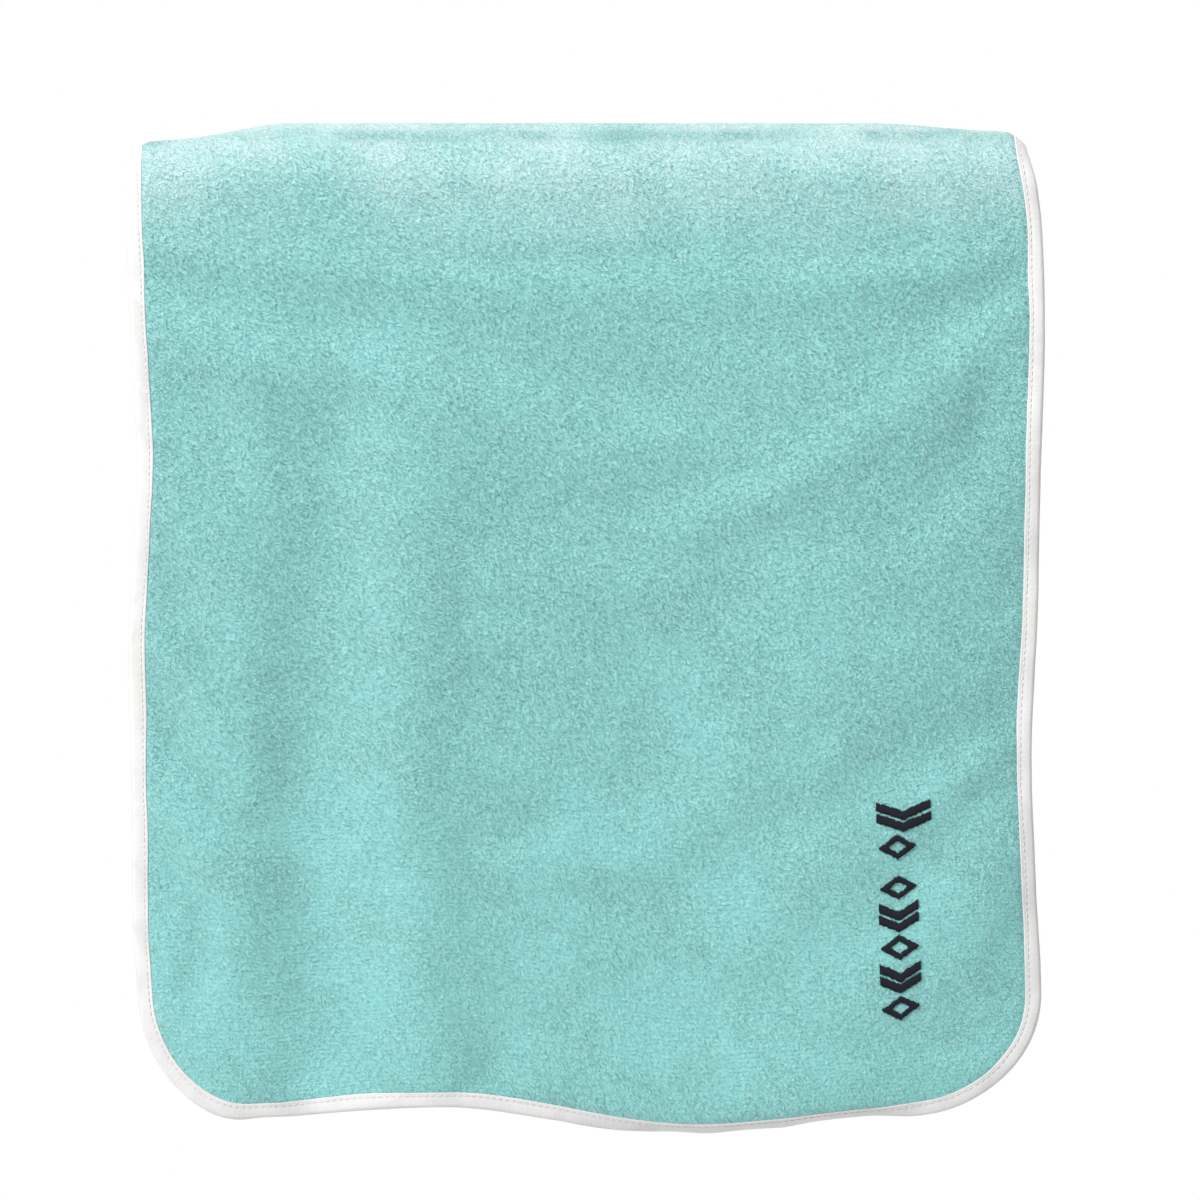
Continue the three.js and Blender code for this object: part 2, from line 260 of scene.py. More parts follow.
# Small marks of handling on the front, which start below the crown: across, depth, half length,
# half width, turn from level and height. They are too small for the solid model.
CREASES_GROW_OVER = 60
FRONT_CREASES = [
    (44, 262, 62, 34, 80, -1.9),
    (24, 196, 34, 11, 8, 0.9),
    (18, 330, 34, 12, -6, 1.0),
    (-183, 118, 26, 12, 62, -1.5),
    (-203, 268, 22, 10, 70, -1.4),
    (-204, 374, 34, 6, 102, 1.3),
    (-190, 380, 34, 9, 100, -1.6),
    (192, 357, 34, 9, 34, 1.4),
    (196, 105, 60, 13, 92, -1.6),
    (182, 437, 26, 5, 4, 0.9),
    (176, 425, 30, 5, 8, -0.8),
    (-60, 96, 60, 20, 12, 0.6),
    (90, 150, 50, 16, 160, 0.6),
    (-148, 250, 150, 13, 90, -1.3),
    (-186, 90, 60, 12, 88, -1.0),
]


def smoothstep(value, start, end):
    share = np.clip((value - start) / (end - start), 0.0, 1.0)
    return share * share * (3.0 - 2.0 * share)


def bump(distance, width):
    return np.exp(-((distance / width) ** 2))


def bent(distance, first, last, angle):
    """A strip that bends between two distances and then runs on straight: how far it now reaches,
    and how far under it goes."""
    radius = (last - first) / angle
    turned = np.clip(distance - first, 0, last - first) / radius
    beyond = np.maximum(distance - last, 0)
    reach = np.minimum(distance, first) + radius * np.sin(turned) + beyond * np.cos(angle)
    return reach, radius * (1 - np.cos(turned)) + beyond * np.sin(angle)


class HungCloth:
    """The towel's outline on the flat, and where each place of the flat cloth hangs."""

    bend = math.radians(45)

    def __init__(self, cut):
        self.half_width = cut.width / 2
        self.half_length = (cut.front_length + cut.back_length) / 2
        self.middle = (cut.back_length - cut.front_length) / 2
        self.front_length = cut.front_length / MM
        self.corner = cut.corner_radius
        self.radius = (cut.rail_radius + cut.cloth_thickness / 2) / MM
        self.quarter = self.radius * math.pi / 2
        self.settled = None

    # The flat outline
    def inset(self, flat):
        """How far in from the towel's edge each flat place lies."""
        over = np.abs(flat[:, 0]) - (self.half_width - self.corner)
        along = np.abs(flat[:, 1] - self.middle) - (self.half_length - self.corner)
        outside = np.hypot(np.maximum(over, 0), np.maximum(along, 0))
        return self.corner - outside - np.minimum(np.maximum(over, along), 0)

    def outward(self, place):
        """The direction straight out through the edge, from a flat place near it."""
        wide, long = self.half_width - self.corner, self.half_length - self.corner
        over = place.x - min(max(place.x, -wide), wide)
        along = place.y - self.middle - min(max(place.y - self.middle, -long), long)
        return Vector((over, along, 0)).normalized()

    def edge(self, travel, seam):
        """Places on the edge and their inward directions, for distances run along the seam.

        The seam starts at the middle of the back hem and lies this far in from the edge."""
        wide, long = self.half_width - self.corner, self.half_length - self.corner
        arc = (self.corner - seam) * math.pi / 2
        travel = np.mod(travel, self.seam_length(seam))
        place = np.zeros((len(travel), 2))
        inward = np.zeros((len(travel), 2))
        at, heading, start = np.array([0.0, self.middle + self.half_length]), 0.0, 0.0
        for straight in (wide, 2 * long, 2 * wide, 2 * long, wide):
            ahead = np.array([math.cos(heading), math.sin(heading)])
            right = np.array([math.sin(heading), -math.cos(heading)])
            run = travel - start
            here = (run >= 0) & (run <= straight)
            place[here] = at + run[here, None] * ahead
            inward[here] = right
            at = at + ahead * straight
            centre = at + right * self.corner
            run = run - straight
            here = (run > 0) & (run <= arc)
            angle = heading - run[here] / (self.corner - seam)
            inward[here] = np.stack([np.sin(angle), -np.cos(angle)], axis=-1)
            place[here] = centre - self.corner * inward[here]
            heading -= math.pi / 2
            start += straight + arc
            at = centre - self.corner * np.array([math.sin(heading), -math.cos(heading)])
        return place, inward

    def seam_length(self, seam):
        straight = 4 * (self.half_width + self.half_length - 2 * self.corner)
        return straight + (self.corner - seam) * 2 * math.pi

    def from_strip(self, strip, seam):
        """Flat places for a strip along the edge: distance along the seam, inset and lift."""
        place, inward = self.edge(strip[:, 0], seam)
        flat = place + inward * strip[:, 1:2]
        return np.column_stack([flat, strip[:, 2]])

    # The hung shape
    def sag(self, across, turned):
        share = np.maximum(np.cos(turned) - math.cos(self.bend), 0) / (1 - math.cos(self.bend))
        drops = [drop * smoothstep(side * across, start, end) for side, start, end, drop in CROWN_SAGS]
        return sum(drops) * share**2

    def relief(self, across, hanging, folds, start):
        grown = smoothstep(hanging, start, start + FOLDS_GROW_OVER)
        rises = [
            height * bump(across - place + lean * hanging, width) for place, lean, width, height in folds
        ]
        return sum(rises) * grown

    def creases(self, across, depth):
        total = np.zeros_like(across)
        for place, down, long, wide, degrees, height in FRONT_CREASES:
            angle = math.radians(degrees)
            right, below = across - place, depth - down
            along = right * math.cos(angle) + below * math.sin(angle)
            beside = below * math.cos(angle) - right * math.sin(angle)
            total += height * bump(along, long) * bump(beside, wide)
        return total

    def hem_drop(self, across, hanging):
        drops = [drop * bump(across - place, width) for place, width, drop in HEM_WAVES]
        return sum(drops) * (hanging / self.front_length) ** 2

    def waver(self, across, depth):
        shifts = [
            np.where(side * across > 0, side * out * bump(depth - down, stretch), 0)
            for side, down, stretch, out in SIDE_WAVERS
        ]
        return sum(shifts) * (across * MM / self.half_width) ** 2

    def curl(self, across, down):
        turned = np.maximum(0, down - (self.front_length - HEM_CURL_LENGTH)) / HEM_CURL_LENGTH
        return HEM_CURL_DEPTH * turned**2 * smoothstep(across, *HEM_CURL_RAMP)

    def turned_down(self, across, down):
        """Where the sewn edge turns down: its new distance across, and how far in it goes. It turns
        most at the very top."""
        away = np.abs(down)
        front_fade, back_fade = (smoothstep(away, *TURN_FADES[side]) for side in ("front", "back"))
        fade = np.where(down >= 0, front_fade, back_fade)
        level = np.cos(np.minimum(away, self.quarter) / self.radius)
        steep = TURNED_AT_SIDES + (1 - TURNED_AT_SIDES) * level
        angle = np.maximum(TURNED_DOWN * steep * (1 - fade), STRAIGHT)
        first, last = (self.half_width / MM - inset for inset in TURN_INSETS)
        reach, under = bent(np.abs(across), first, last, angle)
        return np.sign(across) * reach, under

    def rolled(self, across, down):
        """Where the front hem rolls back: its new distance down, and how far back it goes."""
        share = smoothstep(across, *HEM_ROLL_STARTS) * (1 - smoothstep(across, *HEM_ROLL_ENDS))
        first, last = (self.front_length - inset for inset in HEM_ROLL_INSETS)
        reach, back = bent(down, first, last, np.maximum(HEM_ROLL * share, STRAIGHT))
        return reach + HEM_ROLL_DROP * share * (down / self.front_length) ** 2 * (down > 0), back

    def hang(self, flat_x, flat_y):
        across, down = flat_x / MM, -flat_y / MM
        front = down >= 0
        away = np.abs(down)
        reach, under = self.turned_down(across, down)
        lower, back = self.rolled(across, down)
        turned = np.minimum(away, self.quarter) / self.radius
        hanging = np.maximum(0, np.where(front, lower, away) - self.quarter)
        depth = hanging - self.radius * np.cos(turned)
        folds = self.relief(across, hanging, FRONT_FOLDS, FOLDS_START["front"])
        folds = folds + self.creases(across, depth) * smoothstep(hanging, 0, CREASES_GROW_OVER)
        back_folds = self.relief(across, hanging, BACK_FOLDS, FOLDS_START["back"])
        relief = np.where(front, folds, back_folds) - self.curl(across, down) - back
        standoff = (self.radius - under) * np.sin(turned) + relief
        x = reach + self.waver(across, depth)
        y = np.where(front, -standoff, standoff)
        z = -depth - self.sag(across, turned) - np.where(front, self.hem_drop(across, hanging), 0)
        start, end, drop = CROWN_DROOP
        droop = drop * np.clip((across - start) / (end - start), 0, 1)
        z = z - (under + droop) * np.cos(turned)
        return np.stack([x, y, z], axis=-1) * MM

    def settling(self, flat_x, flat_y):
        """What the simulation moved each place by: a cubic B-spline over its grid."""
        if self.settled is None:
            return 0.0
        rows, columns = self.settled.shape[:2]
        u = (flat_x + self.half_width) / (2 * self.half_width) * (columns - 1)
        v = (flat_y - self.middle + self.half_length) / (2 * self.half_length) * (rows - 1)
        column, row = np.floor(u).astype(int), np.floor(v).astype(int)
        total = 0.0
        for j, down in enumerate(spline_weights(v - row)):
            for i, over in enumerate(spline_weights(u - column)):
                y = np.clip(row + j - 1, 0, rows - 1)
                x = np.clip(column + i - 1, 0, columns - 1)
                total = total + self.settled[y, x] * (down * over)[:, None]
        return total

    def surface(self, flat_x, flat_y):
        return self.hang(flat_x, flat_y) + self.settling(flat_x, flat_y)

    def lifted(self, flat):
        """Hung places for flat ones, each lifted out of the cloth by its Z."""
        x, y, lift = flat.T
        step = 0.8 * MM
        over = self.surface(x + step, y) - self.surface(x - step, y)
        up = self.surface(x, y + step) - self.surface(x, y - step)
        out = np.cross(over, up)
        out /= np.linalg.norm(out, axis=1, keepdims=True)
        return self.surface(x, y) + out * lift[:, None]


def spline_weights(f):
    """The shares of the four nearest knots of a cubic B-spline."""
    second = (3 * f**3 - 6 * f**2 + 4) / 6
    third = (-3 * f**3 + 3 * f**2 + 3 * f + 1) / 6
    return [(1 - f) ** 3 / 6, second, third, f**3 / 6]


CLOTH = {}


def hung_cloth(context):
    """The one cloth that every piece is hung with."""
    if "towel" not in CLOTH:
        CLOTH["towel"] = HungCloth(context.scene.towel_cut)
    return CLOTH["towel"]


# ---- meshes ----
def coordinates(mesh):
    flat = np.empty(len(mesh.vertices) * 3)
    mesh.vertices.foreach_get("co", flat)
    return flat.reshape(-1, 3)


def set_coordinates(mesh, places):
    mesh.vertices.foreach_set("co", np.ascontiguousarray(places, dtype=np.float64).ravel())
    mesh.update()


def set_uv(mesh, per_vertex):
    corner_vertices = np.empty(len(mesh.loops), dtype=np.int32)
    mesh.loops.foreach_get("vertex_index", corner_vertices)
    layer = mesh.uv_layers.active or mesh.uv_layers.new(name="Flat")
    per_corner = np.ascontiguousarray(per_vertex[corner_vertices], dtype=np.float32)
    layer.uv.foreach_set("vector", per_corner.ravel())


def mesh_from(bm, name):
    mesh = bpy.data.meshes.new(name)
    bm.to_mesh(mesh)
    bm.free()
    return mesh


def finish_mesh(mesh):
    """Turns every face outwards and shades it smooth."""
    bm = bmesh.new()
    bm.from_mesh(mesh)
    bmesh.ops.recalc_face_normals(bm, faces=bm.faces)
    for face in bm.faces:
        face.smooth = True
    bm.to_mesh(mesh)
    bm.free()
    mesh.update()


def add_object(context, name, mesh, material):
    piece = bpy.data.objects.new(name, mesh)
    piece.data.name = name
    context.scene.collection.objects.link(piece)
    if material:
        mesh.materials.append(material)
    return piece


def across_the_bend(piece):
    """Bakes the piece's transform into its mesh."""
    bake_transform(piece)


def smooth_noise(places, seed):
    """Blender's own gradient noise at each place, which is the same in each run."""
    shift = Vector((17.3 * seed, -9.1 * seed, 4.7 * seed))
    return np.array([noise.noise(Vector(place) + shift) for place in places])


# ---- node materials ----
class Output:
    """One output of a node. Python's arithmetic on it adds Math nodes."""

    def __init__(self, nodes, socket):
        self.nodes, self.socket = nodes, socket

    def maths(self, operation, *values):
        return self.nodes.maths(operation, *values)

    def __add__(self, other):
        return self.maths("ADD", self, other)

    __radd__ = __add__

    def __sub__(self, other):
        return self.maths("SUBTRACT", self, other)

    def __rsub__(self, other):
        return self.maths("SUBTRACT", other, self)

    def __mul__(self, other):
        return self.maths("MULTIPLY", self, other)


class Material:
    """A material's nodes round one Principled shader."""

    def __init__(self, name):
        self.material = bpy.data.materials.new(name)
        self.material.use_nodes = True
        self.tree = self.material.node_tree
        self.shader = next(node for node in self.tree.nodes if node.type == "BSDF_PRINCIPLED")

    def feed(self, socket, value):
        if isinstance(value, Output):
            self.tree.links.new(value.socket, socket)
        elif hasattr(socket.default_value, "__len__") and len(socket.default_value) == 4:
            socket.default_value = (*value[:3], 1.0)
        else:
            socket.default_value = value

    def add(self, kind, settings=(), sockets=(), output=0):
        """A node of this kind: its settings are set first, then its sockets are given or linked."""
        node = self.tree.nodes.new(kind)
        for name, value in dict(settings).items():
            if name == "stops":
                ramp = node.color_ramp
                while len(ramp.elements) < len(value):
                    ramp.elements.new(0.5)
                for stop, (position, shade) in zip(ramp.elements, value):
                    stop.position, stop.color = position, (*shade, 1.0)
            else:
                setattr(node, name, value)
        for name, value in dict(sockets).items():
            self.feed(node.inputs[name], value)
        return Output(self, node.outputs[output])

    def maths(self, operation, *values):
        return self.add("ShaderNodeMath", {"operation": operation}, dict(enumerate(values)))

    def place(self, stretch=1.0, turned=0.0, warp=None):
        """The piece's UV map, a metre to a unit. A pattern on it is stretched up and then turned."""
        uv = self.add("ShaderNodeUVMap", {"uv_map": "Flat"})
        if warp is not None:
            uv = self.add("ShaderNodeVectorMath", {"operation": "ADD"}, {0: uv, 1: warp})
        sockets = {"Vector": uv, "Rotation": (0, 0, math.radians(turned)), "Scale": (1.0, stretch, 1.0)}
        return self.add("ShaderNodeMapping", {"vector_type": "TEXTURE"}, sockets)

    def noise(self, vector, scale, detail=2.0, roughness=0.5, distortion=0.0, output="Fac"):
        sockets = {
            "Vector": vector,
            "Scale": scale,
            "Detail": detail,
            "Roughness": roughness,
            "Distortion": distortion,
        }
        return self.add("ShaderNodeTexNoise", {}, sockets, output)

    def spread(self, value, low, high):
        """Stretches low..high to 0..1 with soft ends."""
        settings = {"interpolation_type": "SMOOTHSTEP"}
        return self.add("ShaderNodeMapRange", settings, {"Value": value, "From Min": low, "From Max": high})

    def mix(self, share, first, second):
        sockets = {"Factor": share, 6: first, 7: second}
        return self.add("ShaderNodeMix", {"data_type": "RGBA", "clamp_factor": True}, sockets, 2)

    def tint(self, share, first, second):
        sockets = {"Factor": share, 6: first, 7: second}
        return self.add("ShaderNodeMix", {"data_type": "RGBA", "blend_type": "MULTIPLY"}, sockets, 2)

    def bump(self, height, distance, strength):
        sockets = {"Height": height, "Distance": distance, "Strength": strength}
        return self.add("ShaderNodeBump", {}, sockets)

    def finish(self, constants, **linked):
        for name, value in {**constants, **linked}.items():
            self.feed(self.shader.inputs[name.replace("_", " ")], value)
        return self.material


# A whiter painted sheen reaches this near to the crown's top, and a broken band of painted shade lies just
# below it.
PAINTED_SHEEN_FADE = (0.0, 0.10)
FURROW_BELOW_CROWN = 0.0195
FURROW_FADE = (0.001, 0.008)


def terry_material(colours):
    """Looped pile: soft curls that lean in streaks, rows of loops where the pile lies flat, and a nap that
    is lighter and darker in patches, with painted shade between the loops, painted light on their tips, a
    broken band of painted shade just below the crown, and a whiter painted sheen over the crown."""
    m = Material("looped_terry")
    flat = m.place()
    nap = m.noise(flat, 17.0, 3.0, 0.55)
    lie = m.noise(flat, 26.0, 3.0, 0.6, 0.8)
    wander = m.noise(flat, 300.0, 1.0, 0.5, output="Color")
    wander = m.add("ShaderNodeVectorMath", {"operation": "SCALE"}, {0: wander, "Scale": 0.0009})
    streaks = m.noise(m.place(2.6, 52, wander), 980.0, 2.0, 0.6, 0.15)
    curls = m.noise(m.place(1.8, 30, wander), 900.0, 2.0, 0.6, 0.3)
    loops = m.add(
        "ShaderNodeTexVoronoi",
        {"feature": "SMOOTH_F1"},
        {"Vector": m.place(1.7, 52, wander), "Scale": 980.0, "Smoothness": 0.4},
    )
    fuzz = m.noise(flat, 2300.0, 2.0, 0.6)
    rows = m.add(
        "ShaderNodeTexWave",
        {"wave_type": "BANDS", "bands_direction": "Y", "wave_profile": "SIN"},
        {"Vector": m.place(warp=wander), "Scale": 150.0, "Distortion": 1.5, "Detail Scale": 1.5},
    )
    up = m.add("ShaderNodeSeparateXYZ", {}, {"Vector": flat}, 1)
    raised = m.spread(lie * 0.7 + m.spread(up, 0.02, 0.34) * 0.26, 0.24, 0.66)
    pile = streaks * 0.72 + curls * 0.28 + (1.0 - loops) * 0.24 + fuzz * 0.2
    height = (pile - 0.6) * (0.75 + raised * 0.6) + rows * (1.0 - raised) * 0.05
    # A broken band of painted shade just below the crown's top:
    from_furrow = m.maths("ABSOLUTE", up - (colours.crown_at - FURROW_BELOW_CROWN))
    furrow_shade = (1.0 - m.spread(from_furrow, *FURROW_FADE)) * m.spread(lie + streaks * 1.8, 1.30, 1.68)
    # Pile height picks the colour: painted shade between the loops, the pile's own colour, and painted
    # light on the loop tips.
    shade = m.spread(0.72 + (pile - 0.72) * (0.62 + raised * 0.68) - furrow_shade * 0.28, 0.29, 1.15)
    ramp = [(0.0, colours.terry_deep), (0.5, colours.terry), (1.0, colours.terry_tip)]
    painted_loop_shading = m.add("ShaderNodeValToRGB", {"stops": ramp}, {"Fac": shade})
    patches = m.mix(m.spread(nap, 0.35, 0.68), (0.98, 0.985, 0.985), (1.02, 1.015, 1.015))
    from_crown = m.maths("ABSOLUTE", up - colours.crown_at)
    # Painted sheen: a whiter colour mixed in near the crown's top, where light grazes the pile.
    painted_sheen = (1.0 - m.spread(from_crown, *PAINTED_SHEEN_FADE)) * m.spread(nap + streaks * 0.5, 0.4, 1.05)
    painted_sheen = painted_sheen * (1.0 - furrow_shade)
    base = m.mix(painted_sheen * 0.75, m.tint(1.0, painted_loop_shading, patches), colours.terry_frost)
    constants = {
        "Sheen Weight": 0.55,
        "Sheen Roughness": 0.45,
        "Sheen Tint": (1.0, 1.0, 1.0),
        "Specular IOR Level": 0.15,
    }
    return m.finish(
        constants,
        Base_Color=base,
        Roughness=0.82 + shade * 0.12,
        Normal=m.bump(height, 2.8 * MM, 1.0),
    )


def tape_material(colours):
    """Smooth woven tape: fine ribs across it, with soft creases and a little painted shade greying its
    folds.
    """
    m = Material("binding_tape")
    flat = m.place()
    ribs = m.add(
        "ShaderNodeTexWave",
        {"wave_type": "BANDS", "bands_direction": "X", "wave_profile": "SIN"},
        {"Vector": flat, "Scale": 420.0, "Distortion": 0.6, "Detail Scale": 2.0},
    )
    creases = m.noise(m.place(2.5), 180.0, 3.0, 0.55, 0.5)
    fibres = m.noise(flat, 2400.0, 1.0, 0.5)
    height = ribs * 0.1 + creases * 0.5 + fibres * 0.12
    # The greyer colour is painted shade in the hollows of the creases.
    greyed = tuple(0.9 * value for value in colours.tape)
    base = m.mix(m.spread(creases * 0.8 + fibres * 0.2, 0.3, 0.6), greyed, colours.tape)
    constants = {"Sheen Weight": 0.2, "Sheen Roughness": 0.5, "Specular IOR Level": 0.25}
    roughness = 0.62 + creases * 0.2
    return m.finish(constants, Base_Color=base, Roughness=roughness, Normal=m.bump(height, 0.6 * MM, 0.5))


def thread_material(name, shade, dark, sheen, roughness):
    """Twisted thread: plies that wind round it, each with painted light on its crest and painted shade in
    the groove beside it, over darker and lighter patches.
    """
    m = Material(name)
    plies = m.add(
        "ShaderNodeTexWave",
        {"wave_type": "BANDS", "bands_direction": "DIAGONAL", "wave_profile": "SIN"},
        {"Vector": m.place(), "Scale": 500.0, "Distortion": 0.8},
    )
    patches = m.noise(m.place(), 260.0, 2.0)
    # Half of the mix is painted light on the ply crests and painted shade in the grooves; the other half is
    # patches of the thread's own tone.
    base = m.mix(plies * 0.5 + patches * 0.5, dark, shade)
    constants = {"Sheen Weight": sheen, "Sheen Roughness": 0.4, "Specular IOR Level": 0.35}
    return m.finish(
        constants,
        Base_Color=base,
        Roughness=roughness + patches * 0.15,
        Normal=m.bump(plies, 0.1 * MM, 0.5),
    )


def label_material(colours):
    """Satin ribbon: fine warp lines down its length."""
    m = Material("care_label")
    warp = m.add(
        "ShaderNodeTexWave",
        {"wave_type": "BANDS", "bands_direction": "X", "wave_profile": "SIN"},
        {"Vector": m.place(), "Scale": 700.0, "Distortion": 0.3},
    )
    slubs = m.noise(m.place(6.0), 900.0, 2.0)
    greyed = tuple(0.93 * value for value in colours.label)
    base = m.mix(slubs * 0.6 + warp * 0.4, greyed, colours.label)
    constants = {"Sheen Weight": 0.1, "Specular IOR Level": 0.45}
    return m.finish(
        constants,
        Base_Color=base,
        Roughness=0.32 + slubs * 0.2,
        Normal=m.bump(warp + slubs, 0.1 * MM, 0.4),
    )


def floor_material():
    m = Material("floor")
    mottle = m.add("ShaderNodeTexNoise", {}, {"Scale": 3.0, "Detail": 3.0})
    base = m.mix(mottle, (0.86, 0.86, 0.86), (0.88, 0.88, 0.88))
    return m.finish({"Roughness": 0.8}, Base_Color=base)


# ---- the pieces ----
class PieceOperator(bpy.types.Operator):
    """The shared options of the towel's operators."""

    bl_options = {"REGISTER", "UNDO"}


class SettleCloth(PieceOperator):
    """Lets the hung cloth settle: its sewn edge draws up and its free cloth rumples."""

    bl_idname = "towel.settle_cloth"
    bl_label = "Settle the cloth"

    # The hold on the cloth: how many millimetres below the rail it fades over, and the least of it;
    # where the seam draws the cloth up, in from the edge; and how long a rumple is.
    held_below_rail = 45
    faint_hold = 0.03
    seam_pulls = (7 * MM, 16 * MM)
    rumple = 55 * MM

    def execute(self, context):
        towel = hung_cloth(context)
        settling = context.scene.towel_settling
        columns = round(2 * towel.half_width / settling.cell)
        rows = round(2 * towel.half_length / settling.cell)
        bm = bmesh.new()
        bmesh.ops.create_grid(bm, x_segments=columns, y_segments=rows, size=1.0)
        mesh = mesh_from(bm, "settling_cloth")
        grid = coordinates(mesh)
        flat = grid * (towel.half_width, towel.half_length, 0) + (0, towel.middle, 0)
        rest = towel.hang(flat[:, 0], flat[:, 1])
        set_coordinates(mesh, rest)
        cloth = add_object(context, "settling_cloth", mesh, None)
        self.hold(cloth, towel, flat)
        self.simulate(context, cloth, settling)
        settled = cloth.evaluated_get(context.evaluated_depsgraph_get()).to_mesh()
        moved = coordinates(settled) - rest
        distance = np.linalg.norm(moved, axis=1, keepdims=True)
        moved *= settling.furthest * np.tanh(distance / settling.furthest) / np.maximum(distance, 1e-9)
        field = np.zeros((rows + 1, columns + 1, 3))
        column = np.rint((grid[:, 0] + 1) / 2 * columns).astype(int)
        row = np.rint((grid[:, 1] + 1) / 2 * rows).astype(int)
        field[row, column] = moved
        towel.settled = field - self.drift(field, settling)
        print("settling moved the cloth by up to %.1f mm" % (np.linalg.norm(moved, axis=1).max() / MM))
        bpy.data.objects.remove(cloth)
        context.scene.frame_set(1)
        return {"FINISHED"}

    def drift(self, field, settling):
        """The part of the movement that is wider than a rumple."""
        drift = field
        for _ in range(round(2 * (settling.widest / settling.cell) ** 2)):
            padded = np.pad(drift, ((1, 1), (1, 1), (0, 0)), mode="edge")
            beside = padded[1:-1, :-2] + padded[1:-1, 2:] + padded[:-2, 1:-1] + padded[2:, 1:-1]
            drift = drift / 2 + beside / 8
        return drift

    def hold(self, cloth, towel, flat):
        """The rail holds the crown fast, and the hanging cloth is held only faintly to its place."""
        depth = np.abs(flat[:, 1]) / MM - towel.quarter
        held = np.maximum(1 - smoothstep(depth, 0, self.held_below_rail), self.faint_hold)
        edge = 1 - smoothstep(towel.inset(flat), *self.seam_pulls)
        places = np.column_stack([flat[:, :2] / self.rumple, np.zeros(len(flat))])
        free = 0.5 + 0.5 * smooth_noise(places, 1)
        slack = np.clip(free, 0, 1) * (1 - edge)
        drawn_up = 1 - (1 - edge) * (0.55 + 0.45 * slack)
        for name, weights in (("held", held), ("drawn_up", drawn_up)):
            group = cloth.vertex_groups.new(name=name)
            for vertex, weight in enumerate(weights):
                group.add([vertex], float(np.clip(weight, 0, 1)), "REPLACE")

    def simulate(self, context, cloth, settling):
        modifier = cloth.modifiers.new("Settle", "CLOTH")
        cloth_settings = modifier.settings
        cloth_settings.quality = 5
        cloth_settings.mass = 0.05
        cloth_settings.tension_stiffness = 20
        cloth_settings.compression_stiffness = 20
        cloth_settings.shear_stiffness = 8
        cloth_settings.bending_stiffness = 1.5
        cloth_settings.air_damping = 2
        cloth_settings.vertex_group_mass = "held"
        cloth_settings.pin_stiffness = 2
        cloth_settings.vertex_group_shrink = "drawn_up"
        cloth_settings.shrink_min = -settling.slack
        cloth_settings.shrink_max = settling.edge_shrink
        cloth_settings.effector_weights.gravity = 0.05
        modifier.collision_settings.use_collision = False
        modifier.point_cache.frame_start = 1
        modifier.point_cache.frame_end = settling.frames
        for step in range(1, settling.frames + 1):
            context.scene.frame_set(step)


